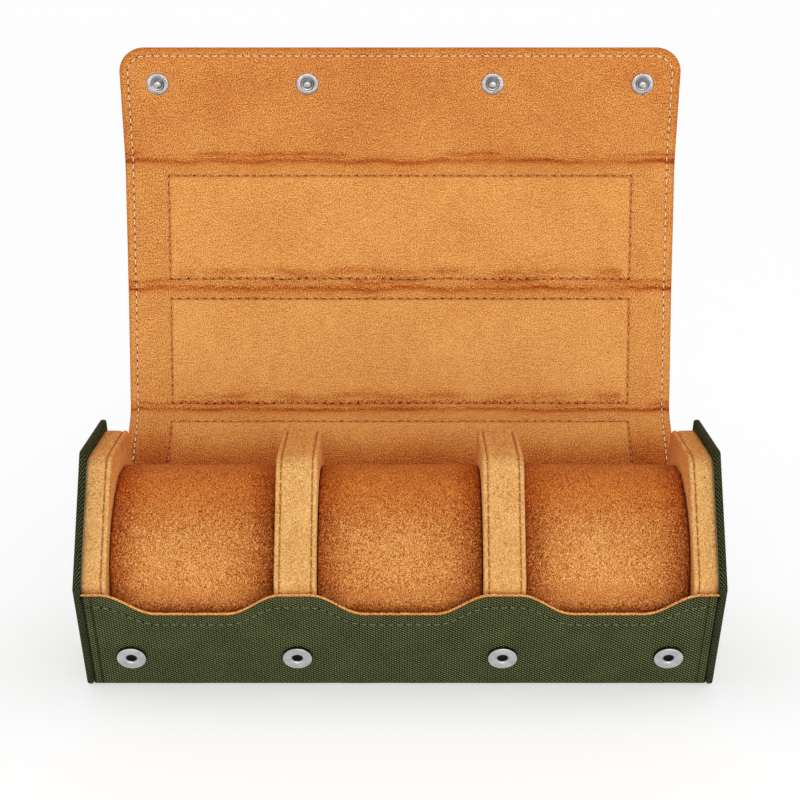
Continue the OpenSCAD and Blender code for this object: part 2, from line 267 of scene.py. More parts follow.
def front_edge(x):
    """Arc length of the scalloped front edge of the tray."""
    x = np.asarray(x, float)
    edge = np.full(x.shape, FRONT_DROP)
    for place in (-1, 0, 1):
        across = np.abs(x - place * BAY_X)
        slope = np.clip((BAY_W / 2 + SCALLOP_REACH - across) / SCALLOP_SLOPE, 0, 1)
        edge = edge + SCALLOP_DEPTH * (1 - np.cos(math.pi * slope)) / 2
    return edge


def front_stitches(x):
    """Arc length of the line of stitches under the scalloped edge."""
    return FRONT_DROP + STITCH_FRONT + STITCH_DIP * (front_edge(x) - FRONT_DROP)


def lid_edge(x, v):
    """Distance inside the outline of the lid, round its two free corners."""
    side = LID_HALF - np.abs(x)
    tip = SHEET_END - v
    corner = FLAP_CORNER - np.hypot(np.maximum(FLAP_CORNER - side, 0), np.maximum(FLAP_CORNER - tip, 0))
    return np.where((side < FLAP_CORNER) & (tip < FLAP_CORNER), corner, np.minimum(side, tip))


def box_distance(x, v, box):
    """Distance outside a stitched rectangle, negative within it."""
    dx = np.abs(x) - BOX_HALF
    dv = np.abs(v - WALLS[box.wall].v - (box.low + box.high) / 2) - (box.high - box.low) / 2
    return np.hypot(np.maximum(dx, 0), np.maximum(dv, 0)) + np.minimum(np.maximum(dx, dv), 0)


def crease_line(x, v, fold):
    """Distance from the wandering crease of a fold."""
    wander = 0.55 * waver(x, 46, fold.seeds[0]) + 0.3 * waver(x, 13, fold.seeds[0] + 1)
    return v - WALLS[fold.wall].v - fold.crease - wander


def second_crease(x, away, fold, line):
    """The broken crease that runs beside the first one of a fold."""
    return ease(0.5 + 1.2 * waver(x, 48, fold.seeds[2])) * pressed(away - SECOND_AT, line)


def rounded(depth, rim, edge):
    """Brings a surface round to the rim depth at the edge of its sheet."""
    near = 1 - np.clip(edge / EDGE_ROUND, 0, 1)
    return rim + (depth - rim) * np.sqrt(np.maximum(1 - near ** 2, 0))


def on_board(distance):
    """1 on the board inside a stitched rectangle, 0 beside it."""
    return ease((0.3 - distance) / 2.0)


def near_lid(v, length):
    """0 on the back wall of the tray, 1 where the lid begins."""
    return ease((v - LID_START + 14) / length)


def lid_suede_depth(x, v):
    depth = SOFT_T + (FLAP_T - SOFT_T) * ease((v - WALLS["flap"].v + 3) / 6)
    for box in BOXES:
        distance = box_distance(x, v, box)
        depth = depth + (WALL_T - SOFT_T) * on_board(distance) - pressed(distance, SUEDE_BOX_LINE)
    for fold in FOLDS:
        away = crease_line(x, v, fold)
        strength = 0.75 + 0.35 * waver(x, 60, fold.seeds[1])
        depth = depth - pressed(away, FOLD_DIP) - strength * pressed(away, CREASE)
        depth = depth + strength * pressed(away - LIP_AT, CREASE_LIP)
        depth = depth - second_crease(x, away, fold, SECOND_CREASE)
    edge = lid_edge(x, v)
    depth = depth - pressed(edge - STITCH_EDGE, SUEDE_EDGE_LINE) + 0.05 * ripple(x, v, 17, 5)
    return rounded(np.minimum(depth, WALL_T), RIM, edge)


def lid_suede_painted_shading(x, v):
    """Painted light and shade of the lining, with a faint random unevenness: 0 is plain, -1 the darkest."""
    tone = 0.05 * ripple(x, v, 38, 11)
    # lighter over each board; painted shade in its line of stitches and in a broken band just inside its
    # lower edge
    for box in BOXES:
        distance = box_distance(x, v, box)
        tone = tone + 0.22 * ease((0.5 - distance) / 2) - pressed(distance, BOX_LINE_SHADE)
        along = v - WALLS[box.wall].v - box.low - 3.0 - 0.8 * waver(x, 50, 17)
        broken = ease((98 - np.abs(x)) / 3) * (0.8 + 0.4 * waver(x, 33, 19))
        tone = tone - broken * pressed(along, BOX_BAND_SHADE)
    # painted shade in each crease, around it and in the broken crease beside it
    for fold in FOLDS:
        away = crease_line(x, v, fold)
        strength = (0.8 + 0.35 * waver(x, 44, fold.seeds[3])) * (1 + 0.35 * ease((np.abs(x) - 95) / 20))
        tone = tone - strength * pressed(away, CREASE_SHADE) - pressed(away, FOLD_SHADE)
        tone = tone - second_crease(x, away, fold, SECOND_SHADE)
    edge = lid_edge(x, v)
    # painted shade in the line of stitches round the edge and on the rounded edge itself
    tone = tone - pressed(edge - STITCH_EDGE, EDGE_LINE_SHADE) - 0.25 * ease((2.2 - edge) / 2.2)
    above = (v - LID_START) / HEX_SIDE      # in panels: painted light about the second, painted shade above the pillows
    tone = tone + 0.16 * ridge(above - 1.5, 0.45) - 0.12 * ease(above - 2.9)
    return tone - 0.82 * ease((0.9 - above) / 0.55)


def lid_canvas_depth(x, v):
    depth = CANVAS_SUNK + 0 * x
    for box in BOXES:
        distance = box_distance(x, v, box)
        depth = depth - CANVAS_SUNK * on_board(distance) + pressed(distance, CANVAS_BOX_LINE)
    for fold in FOLDS:
        depth = depth + pressed(v - WALLS[fold.wall].v, CANVAS_FOLD)
    edge = lid_edge(x, v)
    return rounded(depth + pressed(edge - STITCH_EDGE, STITCH_LINE), RIM, edge)


def lid_canvas_tone(x, v):
    return 0 * x


def tray_canvas_depth(x, v):
    side = INNER_HALF - np.abs(x)
    depth = TRAY_CANVAS_SUNK + (CANVAS_SUNK - TRAY_CANVAS_SUNK) * near_lid(v, 9)
    depth = depth + pressed(v - front_stitches(x), STITCH_LINE) + pressed(v - LID_START, CANVAS_FOLD)
    depth = depth + pressed(side - STITCH_END, STITCH_LINE) * ease((HEX_SIDE - 2 - v) / 3)
    depth = depth + 0.03 * (1 + ripple(x, v, 30, 41))
    return rounded(rounded(depth, RIM, side), SCALLOP_RIM, v - front_edge(x))


def tray_canvas_painted_shading(x, v):
    side = INNER_HALF - np.abs(x)
    # painted shade in the lines of stitches at the ends and along the front, and deep painted shade where the
    # canvas meets the end caps
    tone = -0.5 * ridge(side - STITCH_END, 0.35) - 1.8 * ease((1.4 - side) / 1.1)
    return tone - 0.35 * ridge(v - front_stitches(x), 0.4)


def tray_suede_depth(x, v):
    from_top = v - front_edge(x)
    depth = WALL_T - 0.85 * (1 - ease(from_top / 5)) - pressed(v - front_stitches(x), STITCH_LINE)
    depth = depth - (WALL_T - SOFT_T) * near_lid(v, 8)
    return rounded(rounded(depth, RIM, INNER_HALF - np.abs(x)), SCALLOP_RIM, from_top)


def tray_suede_painted_shading(x, v):
    from_top = v - front_edge(x)
    # painted highlight on the rolled scalloped edge and painted shade just below it, with a faint random
    # unevenness
    return 0.25 - 0.4 * ease((from_top - 0.7) / 2.2) + 0.05 * ripple(x, v, 30, 43)


# Depth and tone, the painted light and shade, of each sheet
SURFACES = {
    ("lid", "suede"): (lid_suede_depth, lid_suede_painted_shading),
    ("lid", "canvas"): (lid_canvas_depth, lid_canvas_tone),
    ("tray", "suede"): (tray_suede_depth, tray_suede_painted_shading),
    ("tray", "canvas"): (tray_canvas_depth, tray_canvas_painted_shading),
}


# ---------------------------------------------------------------- meshes

def give_values(piece, **layers):
    """Gives each point of a piece numbers that its material reads."""
    for name, values in layers.items():
        attribute = piece.data.attributes.new(name, "FLOAT", "POINT")
        attribute.data.foreach_set("value", np.asarray(values, np.float32).ravel())


def shade_smooth(piece):
    piece.data.polygons.foreach_set("use_smooth", np.ones(len(piece.data.polygons), bool))


def place_object(name, data):
    placed = bpy.data.objects.new(name, data)
    bpy.context.scene.collection.objects.link(placed)
    return placed


def make_piece(name, points, faces, material, uv=None, **layers):
    """A smooth-shaded object from points in millimetres."""
    mesh = bpy.data.meshes.new(name)
    faces = faces.tolist() if isinstance(faces, np.ndarray) else faces
    mesh.from_pydata((np.asarray(points).reshape(-1, 3) * MM).tolist(), [], faces)
    if uv is not None:
        loops = np.zeros(len(mesh.loops), np.int32)
        mesh.loops.foreach_get("vertex_index", loops)
        layer = mesh.uv_layers.new(name="UVMap")
        layer.data.foreach_set("uv", (np.asarray(uv).reshape(-1, 2)[loops] * MM).ravel())
    mesh.materials.append(material)
    piece = place_object(name, mesh)
    give_values(piece, **layers)
    shade_smooth(piece)
    return piece


def coordinates(piece):
    co = np.zeros(len(piece.data.vertices) * 3)
    piece.data.vertices.foreach_get("co", co)
    return co.reshape(-1, 3) / MM


def move_points(piece, co):
    piece.data.vertices.foreach_set("co", (co * MM).ravel())
    piece.data.update()


def grid_faces(rows, columns, closed=False, flip=False):
    i = np.arange(rows - 1)[:, None]
    j = np.arange(columns if closed else columns - 1)[None, :]
    after = (j + 1) % columns
    quads = np.stack(np.broadcast_arrays(
        i * columns + j, i * columns + after, (i + 1) * columns + after, (i + 1) * columns + j), -1)
    quads = quads.reshape(-1, 4)
    return quads[:, ::-1] if flip else quads


def closed_faces(rows, columns, flip=False):
    """Faces of a tube of rings and of its two ends, as lists."""
    ends = [list(range(columns))[::-1], list(range((rows - 1) * columns, rows * columns))]
    faces = grid_faces(rows, columns, closed=True, flip=flip).tolist()
    return faces + [end[::-1] if flip else end for end in ends]


def join_parts(parts):
    """One list of points and faces from several, each (points, faces, slot)."""
    points, faces, slots, count = [], [], [], 0
    for part_points, part_faces, slot in parts:
        points.append(np.asarray(part_points).reshape(-1, 3))
        faces += (np.asarray(part_faces) + count).tolist()
        slots += [slot] * len(part_faces)
        count += len(points[-1])
    return np.concatenate(points), faces, slots


# ---------------------------------------------------------------- sheets of canvas and suede

COLUMNS = spaced(-LID_HALF, LID_HALF, 1.2, fine=0.4, lines=[
    side * place for side in (-1, 1) for place in (BOX_HALF, LID_HALF - STITCH_EDGE)])
ACROSS = COLUMNS / LID_HALF
ROW_STEP = 1.3
FOLD_ROWS = 41
UV_FOLLOW = 1.4         # how far the weave is drawn along by the relief
BEAD = 0.75             # how far the suede rolls over the scalloped edge


def lid_half_width(v):
    """Half the width of the sheet: the tray, the lid, and the round corners of the flap."""
    into = np.clip(v - (SHEET_END - FLAP_CORNER), 0, FLAP_CORNER)
    half = LID_HALF - FLAP_CORNER + np.sqrt(np.maximum(FLAP_CORNER ** 2 - into ** 2, 0))
    return half + (INNER_HALF - LID_HALF) * ease((LID_START - FOLD_REACH - v) / 3)


def sheet_piece(name, rows, part, side, material):
    """Part of the canvas or suede between two arc lengths; rows are arc lengths."""
    v = np.broadcast_to(rows[:, None], (len(rows), len(ACROSS)))
    x = ACROSS[None, :] * lid_half_width(v)
    if part == "tray":
        v = v + front_edge(x) * (1 - ease((v - 8) / 30))
    depth, tone = (surface(x, v) for surface in SURFACES[part, side])
    place = v
    if (part, side) == ("tray", "suede"):
        from_top = v - front_edge(x)
        place = v - BEAD * ease(from_top / 0.4) * (1 - ease((from_top - 0.8) / 3.0))
    points = sheet_point(x, place, depth, CORNER_REACH_IN if side == "suede" else CORNER_REACH_OUT)
    # the darker the painted shade of a sheet, the more its suede takes the redder shaded colours
    return make_piece(name, points, grid_faces(*v.shape, flip=side == "canvas"), material,
                      uv=np.stack([x, v - UV_FOLLOW * depth], -1), tone=tone,
                      warm=np.clip(-1.2 * tone, 0, 1))


def across_fold(piece, fold):
    """Works out where a fold meets the panels on its two sides, then bakes the piece's placement into its
    mesh; the piece is not bent.
    """
    ends = np.array([WALLS[fold.wall].v - FOLD_REACH, WALLS[fold.wall].v + FOLD_REACH])
    start, end = sheet_point(0.0, ends, 0.0)
    along = (end - start) / np.linalg.norm(end - start)
    leaning = inward(ends) @ along
    start = start + along * max(0.0, leaning[0]) * WALL_T
    end = end - along * max(0.0, -leaning[1]) * WALL_T
    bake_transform(piece)


def panel_spans():
    """Body, first and last arc length of each stiff part of the lid."""
    for name in ("lid_rear", "lid_top", "lid_front"):
        wall = WALLS[name]
        yield name, wall.v + FOLD_REACH, wall.v + wall.length - FOLD_REACH
    yield "flap", WALLS["flap"].v + FOLD_REACH, SHEET_END


def flap_rows(start):
    straight = spaced(start, SHEET_END - FLAP_CORNER, ROW_STEP, edges=(False, False))
    turns = np.sin(np.linspace(0, math.pi / 2, 22))[1:]
    corner = SHEET_END - FLAP_CORNER + FLAP_CORNER * turns
    lines = SHEET_END - STITCH_EDGE + np.arange(-1.6, 1.7, 0.4)
    edge = SHEET_END - np.array(EDGE_MARKS)
    rows = np.unique(np.round(np.concatenate([straight, corner, lines, edge]), 4))
    return rows[np.concatenate([[True], np.diff(rows) > 0.03])]


def sheet_rows():
    """Arc lengths of the rows of the tray and of each stiff part of the lid."""
    lines = [WALLS[box.wall].v + at for box in BOXES for at in (box.low, box.high, box.low + 3)]
    rows = {"tray": spaced(0, LID_START - FOLD_REACH, ROW_STEP, fine=0.45, edges=(True, False),
                           lines=(STITCH_FRONT, WALLS["base"].v, WALLS["back_wall"].v))}
    for name, low, high in panel_spans():
        if name == "flap":
            rows[name] = flap_rows(low)
        else:
            rows[name] = spaced(low, high, ROW_STEP, lines, edges=(False, False))
    return rows


def declare_sheet(piece, shape):
    """Reads the points of a piece as a grid of the given shape, and does nothing more with them."""
    co = coordinates(piece).reshape(*shape, 3)


def build_sheets(suede, canvas):
    """The canvas and suede of the tray, the lid and the flap."""
    rows_of = sheet_rows()
    for side, material, label, layer, slot in (
        ("suede", suede, "_suede", "_lining", "lining_suede"),
        ("canvas", canvas, "_canvas_cloth", "_canvas", "canvas"),
    ):
        for name, rows in rows_of.items():
            piece = sheet_piece(name + label, rows, "tray" if name == "tray" else "lid", side, material)
            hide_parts(name + layer)
            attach(piece, name)
            declare_sheet(piece, (len(rows), len(ACROSS)))
        for fold in FOLDS:
            v = WALLS[fold.wall].v
            rows = np.linspace(v - FOLD_REACH, v + FOLD_REACH, FOLD_ROWS)
            piece = sheet_piece(fold.name + label, rows, "lid", side, material)
            across_fold(piece, fold)


# ---------------------------------------------------------------- stitches

# How far along a stitch, and how high its thread is there
STITCH_ARC = ((0.0, -0.22), (0.12, 0.06), (0.3, 0.2), (0.5, 0.24), (0.7, 0.2), (0.88, 0.06), (1.0, -0.22))
THREAD_SIDES = 6
HOLE_SIDES = 8
HOLE_RADIUS = 0.33
HOLE_LIFT = 0.03        # how far a hole's dark disc of painted shade lies above the cloth
OVAL = 0.8              # how flat threads and holes are


def along_path(corners, pitch, gap):
    """Both ends of every stitch along a path of points, as two arrays."""
    corners = np.asarray(corners, float)
    steps = np.linalg.norm(np.diff(corners, axis=0), axis=1)
    travelled = np.concatenate([[0], np.cumsum(steps)])
    marks = np.linspace(0, travelled[-1], max(1, int(round(travelled[-1] / pitch))) + 1)

    def at(distance):
        return np.stack([np.interp(distance, travelled, column) for column in corners.T], -1)
    return at(marks[:-1] + gap / 2), at(marks[1:] - gap / 2)


def circle(first, second, count):
    """Offsets round an oval in the plane of two arrays of directions."""
    turns = np.arange(count)[None, :, None] / count * 2 * math.pi
    return first[:, None, :] * np.cos(turns) + second[:, None, :] * OVAL * np.sin(turns)


def stitch_parts(starts, ends, ups, radius, seed, hole=HOLE_RADIUS):
    """Threads (slot 0) and dark discs of painted shade for the needle holes at their ends (slot 1)."""
    rng = np.random.default_rng(seed)
    count = len(starts)
    along = (ends - starts) / np.linalg.norm(ends - starts, axis=1, keepdims=True)
    ups = ups / np.linalg.norm(ups, axis=1, keepdims=True)
    side = np.cross(along, ups)
    tilt = rng.normal(0, 0.05, (count, 1))
    starts, ends = starts + side * tilt, ends - side * tilt
    sag = 1 + rng.normal(0, 0.12, (count, 1))
    thread = circle(side, ups, THREAD_SIDES)
    rings = [(starts + (ends - starts) * t + ups * height * sag)[:, None, :]
             + radius * (0.75 + 0.25 * math.sin(math.pi * t)) * thread for t, height in STITCH_ARC]
    solids = [(np.stack(rings, 1).reshape(count, -1, 3),
               grid_faces(len(STITCH_ARC), THREAD_SIDES, closed=True, flip=True), 0)]
    k = np.arange(0, HOLE_SIDES, 2)
    disc_faces = np.stack([k, k + 1, (k + 2) % HOLE_SIDES, np.full_like(k, HOLE_SIDES)], -1)
    for centres in (starts, ends):
        middle = (centres + ups * HOLE_LIFT)[:, None, :]
        disc = np.concatenate([middle + hole * circle(along, side, HOLE_SIDES), middle], 1)
        solids.append((disc, disc_faces, 1))
    return [(points, (faces + np.arange(count)[:, None, None] * points.shape[1]).reshape(-1, 4), slot)
            for points, faces, slot in solids]


def stitch_piece(name, parts, thread, hole):
    points, faces, slots = join_parts(parts)
    piece = make_piece(name, points, faces, thread)
    piece.data.materials.append(hole)
    piece.data.polygons.foreach_set("material_index", slots)
    return piece


def stitches_on(part, side, run, pitch, gap):
    """Starts, ends, outward directions and middle arc lengths of the stitches of a run on a sheet."""
    depth = SURFACES[part, side][0]
    a, b = (end.T for end in along_path(run, pitch, gap))
    middle = (a[1] + b[1]) / 2
    return (sheet_point(*a, depth(*a)), sheet_point(*b, depth(*b)),
            inward(middle) * (1 if side == "suede" else -1), middle)


def lid_perimeter():
    """The line of stitches round the three free sides of the lid."""
    x = LID_HALF - STITCH_EDGE
    r = FLAP_CORNER - STITCH_EDGE
    turns = np.linspace(0, math.pi / 2, 20)
    cx, cv = LID_HALF - FLAP_CORNER, SHEET_END - FLAP_CORNER
    left = [(-x, LID_START + 1.5), (-x, cv)]
    left += [(-cx - r * math.cos(t), cv + r * math.sin(t)) for t in turns[1:]]
    return left + [(-px, pv) for px, pv in reversed(left)]


def box_sides():
    """The four lines of stitches of each rectangle."""
    for box in BOXES:
        low, high = WALLS[box.wall].v + box.low, WALLS[box.wall].v + box.high
        corners = [(-BOX_HALF, low), (BOX_HALF, low), (BOX_HALF, high), (-BOX_HALF, high)]
        for i in range(4):
            yield corners[i], corners[(i + 1) % 4]


def build_lid_stitches(cream, tan, olive, hole):
    edge = ("edge", STITCH_PITCH, [lid_perimeter()])
    boxes = ("box", BOX_PITCH, list(box_sides()))
    for side, (line, pitch, runs), thread, radius, hole_radius in (
        ("suede", edge, cream, 0.25, 0.5), ("suede", boxes, tan, 0.21, 0.6),
        ("canvas", edge, olive, 0.2, 0.3), ("canvas", boxes, olive, 0.2, 0.3),
    ):
        found = [stitches_on("lid", side, run, pitch, STITCH_GAP) for run in runs]
        starts, ends, ups, middles = (np.concatenate(column) for column in zip(*found))
        places = [(name, None, (middles > low) & (middles <= high)) for name, low, high in panel_spans()]
        places += [(fold.name, fold, np.abs(middles - WALLS[fold.wall].v) <= FOLD_REACH) for fold in FOLDS]
        for name, fold, pick in places:
            if not pick.any():
                continue
            parts = stitch_parts(starts[pick], ends[pick], ups[pick], radius, 7 + len(name), hole_radius)
            piece = stitch_piece(f"{name}_{side}_{line}_stitches", parts, thread, hole)
            if fold is None:
                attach(piece, name)
            else:
                across_fold(piece, fold)


def build_tray_stitches(cream, olive, deep, hole):
    """The line under the scalloped edge, through canvas and suede, and the lines at the ends."""
    end_x = INNER_HALF - STITCH_END
    x = np.linspace(-end_x, end_x, 400)
    edge = [np.stack([x, front_stitches(x)], -1)]
    sides = [[(s * end_x, FRONT_DROP + STITCH_FRONT), (s * end_x, HEX_SIDE - 1.5)] for s in (-1, 1)]
    for part, side, thread, runs, radius in (
        ("front", "canvas", olive, edge, 0.18), ("ends", "canvas", deep, sides, 0.17),
        ("inside", "suede", cream, edge, 0.24),
    ):
        parts = []
        for k, run in enumerate(runs):
            parts += stitch_parts(*stitches_on("tray", side, run, STITCH_PITCH, 0.8)[:3], radius, 50 + k)
        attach(stitch_piece(f"tray_{part}_stitches", parts, thread, hole), "tray")


# ---------------------------------------------------------------- end caps, pads and dividers

def facing(degrees):
    return np.array([math.cos(math.radians(degrees)), math.sin(math.radians(degrees))])


def hexagon(apothem, corner, straight, turn):
    """Points, outward directions and arc lengths round the profile, with rounded corners."""
    reach = (apothem - corner) / math.cos(math.radians(30))
    points, outs = [], []
    for i in range(6):
        centre, following = (np.array([0, HALF_H]) + reach * facing(60 * k) for k in (i, i + 1))
        for angle in np.linspace(-30, 30, turn):
            outs.append(facing(60 * i + angle))
            points.append(centre + corner * outs[-1])
        for t in np.linspace(0, 1, straight + 2)[1:-1]:
            outs.append(outs[-1])
            points.append(centre + corner * outs[-1] + (following - centre) * t)
    points, outs = np.array(points), np.array(outs)
    steps = np.linalg.norm(np.roll(points, -1, 0) - points, axis=1)
    return points, outs, np.concatenate([[0], np.cumsum(steps)[:-1]])


def slab(rings, mirrored):
    """A slab across the case, from (x, ring of y, z points) pairs: x, y and z, points and faces."""
    x = np.stack([np.full(len(ring), at) for at, ring in rings])
    yz = np.stack([ring for _, ring in rings])
    points = np.concatenate([(-x if mirrored else x)[..., None], yz], -1)
    return x, yz, points, closed_faces(*x.shape, flip=mirrored)


FACE_SCALES = (0.04, 0.3, 0.55, 0.75, 0.88, 0.95)   # rings on the faces of a pad, as shares of its rim
PAD_WOBBLE = 0.06


def pad_piece(name, outline, profile, bulge, material, mirrored, tone, seed, side_warm):
    """A stuffed slab: profile is (x, inset) pairs from one side round to the other."""
    points, outs, arc = outline
    centre = np.array([0.0, HALF_H])
    (first_x, first_inset), (last_x, last_inset) = profile[0], profile[-1]
    first, last = points - outs * first_inset - centre, points - outs * last_inset - centre
    rings = [(first_x - bulge[0] * (1 - s ** 2), centre + first * s) for s in FACE_SCALES]
    for x, inset in profile:
        lump = PAD_WOBBLE * (1 + ripple(arc, 0 * arc + x, 24, seed))
        rings.append((x, points - outs * (inset + lump)[:, None]))
    rings += [(last_x + bulge[1] * (1 - s ** 2), centre + last * s) for s in reversed(FACE_SCALES)]
    x, yz, solid, faces = slab(rings, mirrored)
    k = np.arange(len(rings))
    on_face = ((k < len(FACE_SCALES)) | (k >= len(rings) - len(FACE_SCALES)))[:, None]
    rim_uv = np.stack([np.broadcast_to(arc, x.shape), x], -1)
    # the shaded pad colours are painted on the flat sides, by the given share, and on everything behind the
    # front
    return make_piece(name, solid, faces, material, uv=np.where(on_face[..., None], yz, rim_uv),
                      tone=tone(x, yz[..., 0], yz[..., 1]),
                      warm=np.maximum(side_warm * on_face, 0.55 * ease((yz[..., 0] + 25) / 4)))


CAP_CORNER = 2.0
CAP_ROUND = 0.9         # radius of the turned-over edge of an end cap
CAP_SCALES = (0.05, 0.3, 0.6)
CAP_INSETS = (9.0, 4.0, 1.6)
CAP_EDGE_WEAVE = 1.15   # how much finer the weave is where it is stretched over the edge


def cap_piece(name, outline, profile, canvas, mirrored):
    """An end cap, its weave laid flat over the faces and wrapped over the edge."""
    points, outs, arc = outline
    centre = np.array([0.0, HALF_H])

    def scaled(scale):
        return centre + (points - centre) * scale
    rings = [(profile[0][0], scaled(scale)) for scale in CAP_SCALES]
    rings += [(x, points - outs * inset if inset <= CAP_CORNER else scaled(1 - inset / HALF_H))
              for x, inset in profile]
    rings += [(profile[-1][0], scaled(scale)) for scale in reversed(CAP_SCALES)]
    flat_ends = [True] * len(CAP_SCALES)
    flat = np.array(flat_ends + [inset > CAP_CORNER for _, inset in profile] + flat_ends)
    x, yz, solid, faces = slab(rings, mirrored)
    # painted shade on the turned-over edge of the cap
    piece = make_piece(name, solid, faces, canvas,
                       tone=np.repeat(np.where(flat, 0.0, -0.35), len(points)))
    layer = piece.data.uv_layers.new(name="UVMap")
    uv = np.zeros((len(piece.data.loops), 2))
    total = arc[-1] + np.linalg.norm(points[0] - points[-1])
    for polygon in piece.data.polygons:
        ids = np.array(polygon.vertices)
        if flat[ids // len(points)].any():
            uv[polygon.loop_indices] = yz.reshape(-1, 2)[ids]
        else:
            around = arc[ids % len(points)]
            if np.ptp(around) > total / 2:
                around[around < total / 2] += total
            uv[polygon.loop_indices] = CAP_EDGE_WEAVE * np.stack([around, x.reshape(-1)[ids]], -1)
    layer.data.foreach_set("uv", (uv * MM).ravel())
    return piece


def build_end_caps(canvas):
    """Board discs wrapped in canvas, with softly rounded edges."""
    turns = np.linspace(0, math.pi / 2, 7)
    profile = [(INNER_HALF, inset) for inset in CAP_INSETS]
    profile += [(INNER_HALF + CAP_ROUND * (1 - math.cos(t)), CAP_ROUND * (1 - math.sin(t))) for t in turns]
    profile += [(CASE_HALF - CAP_ROUND * (1 - math.sin(t)), CAP_ROUND * (1 - math.cos(t))) for t in turns]
    profile += [(CASE_HALF, inset) for inset in reversed(CAP_INSETS)]
    outline = hexagon(HALF_H, CAP_CORNER, straight=44, turn=9)
    for side in ("left", "right"):
        piece = cap_piece("end_cap_canvas_skin_" + side, outline, profile, canvas, side == "left")
        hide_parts("end_cap_canvas_" + side)
        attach(piece, "tray")


# Seam and welt at the rim of a pad: distance from its face, and inset
WELT = ((0.25, 2.4), (0.1, 1.5), (0.12, 0.9), (0.35, 0.4), (0.7, 0.12), (1.1, 0.02), (1.5, 0.1),
        (1.75, 0.34), (1.92, 0.62), (2.1, 0.7), (2.28, 0.6), (2.5, 0.36), (2.9, 0.2), (3.6, 0.12))
SEAM_AT = 2.05              # the middle of the seam, from the face
SEAM_INSET = 0.62
PAD_BULGE = 0.2
PAD_STITCH = (4.2, 1.6)     # pitch of the stitches in the seam, and the gap between them


def pad_painted_shading(seams):
    """Painted light and shade of a pad: lighter on its front and its flat sides than on top and at the back,
    with painted shade in its seams.
    """
    def tone(x, y, z):
        face = ease((PAD_APOTHEM - 3 - np.hypot(y, z - HALF_H)) / 2)
        # painted light towards the front and on the flat sides, with a faint random unevenness
        value = 0.1 + 0.16 * ease(-y / 30) + 0.3 * face + 0.05 * ripple(y, z + x, 22, 61)
        for seam in seams:
            # painted shade in each seam and a painted highlight on the welt beside it
            value = value - 0.3 * ridge(x - seam, 0.3) + 0.12 * ridge(np.abs(x - seam) - 1.1, 0.6)
        return value
    return tone


def build_pads(suede, thread, hole):
    outline = hexagon(PAD_APOTHEM, PAD_CORNER, straight=26, turn=10)
    low, high = DIVIDER_X - DIVIDER_T / 2, DIVIDER_X + DIVIDER_T / 2
    divider = [(low + t, inset) for t, inset in WELT]
    divider += [(low + 5.5, 0.05), (DIVIDER_X - 1.5, 0.0), (DIVIDER_X + 1.5, 0.0), (high - 5.5, 0.05)]
    divider += [(high - t, inset) for t, inset in reversed(WELT)]
    inner = INNER_HALF - PAD_T
    end = [(inner + t, inset) for t, inset in WELT]
    end += [(inner + 5.5, 0.05), (INNER_HALF - 2.2, 0.0), (INNER_HALF - 1.0, 0.05),
            (INNER_HALF - 0.5, 0.3), (INNER_HALF - 0.2, 0.6), (INNER_HALF, 1.2)]
    divider_seams, end_seams = (low + SEAM_AT, high - SEAM_AT), (inner + SEAM_AT,)
    ring = outline[0] - outline[1] * SEAM_INSET
    ring = np.concatenate([ring, ring[:1]])
    for side, sign in (("left", -1), ("right", 1)):
        for kind, node, profile, outer_bulge, seams, seed, side_warm in (
            ("divider", "divider_cover_", divider, PAD_BULGE, divider_seams, 71, 0.2),
            ("end", "end_pad_cover_", end, 0.0, end_seams, 73, 0.7),
        ):
            piece = pad_piece(f"{kind}_pad_{side}", outline, profile, (PAD_BULGE, outer_bulge), suede,
                              side == "left", pad_painted_shading(seams), seed, side_warm)
            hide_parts(node + side)
            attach(piece, "tray")
        parts = []
        for k, seam in enumerate(divider_seams + end_seams):
            a, b = along_path(np.insert(ring, 0, sign * seam, axis=1), *PAD_STITCH)
            up = (a + b) / 2 * (0, 1, 1) - (0, 0, HALF_H)
            parts += stitch_parts(a, b, up, 0.15, 90 + k, hole=0.22)
        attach(stitch_piece("pad_stitches_" + side, parts, thread, hole), "tray")


# ---------------------------------------------------------------- pillows

PILLOW_MARGIN = 1.0     # the form starts this much smaller and swells
PILLOW_RIM = 2.5        # radius of its rims
PILLOW_SEGMENTS = 72
PILLOW_SWELL = 5.0      # how far a point may move in the simulation
PILLOW_VOXEL = 4.0
PILLOW_CORNER = 5.0     # how far from its rims the swollen form is pressed into a corner
PILLOW_SQUARE = 30.0    # how square that corner is
PILLOW_WIDER = 0.6      # how far each end of it fills the gap beside the divider
PILLOW_GIVE = 0.07      # share of the swell that is left there
PILLOW_PROUD = 0.3      # and the most that it may be
SIM_FRAMES = 20


def drum(name, low, high, material):
    """A closed drum with rounded rims, filling a box less a margin."""
    low, high = low + PILLOW_MARGIN, high - PILLOW_MARGIN
    centre, half = (low + high) / 2, (high - low) / 2
    turns = np.linspace(0, 2 * math.pi, PILLOW_SEGMENTS, endpoint=False)
    end = [(-half[0], share) for share in (0.1, 0.4, 0.7)]
    end += [(-half[0] + PILLOW_RIM * (1 - math.cos(t)), 1 - PILLOW_RIM * (1 - math.sin(t)) / half[2])
            for t in np.linspace(0, math.pi / 2, 6)]
    middle = half[0] - 2 * PILLOW_RIM
    sections = end + [(x, 1.0) for x in np.linspace(-middle, middle, 9)] + [(-x, s) for x, s in reversed(end)]
    rings = [np.stack([np.full(PILLOW_SEGMENTS, centre[0] + x), centre[1] + half[1] * s * np.cos(turns),
                       centre[2] + half[2] * s * np.sin(turns)], -1) for x, s in sections]
    return make_piece(name, rings, closed_faces(len(rings), PILLOW_SEGMENTS), material)


def settle(piece, modifier):
    """Applies a modifier of the piece by replacing its mesh with the evaluated one."""
    depsgraph = bpy.context.evaluated_depsgraph_get()
    mesh = bpy.data.meshes.new_from_object(piece.evaluated_get(depsgraph))
    piece.modifiers.remove(modifier)
    old = piece.data
    piece.data = mesh
    bpy.data.meshes.remove(old)


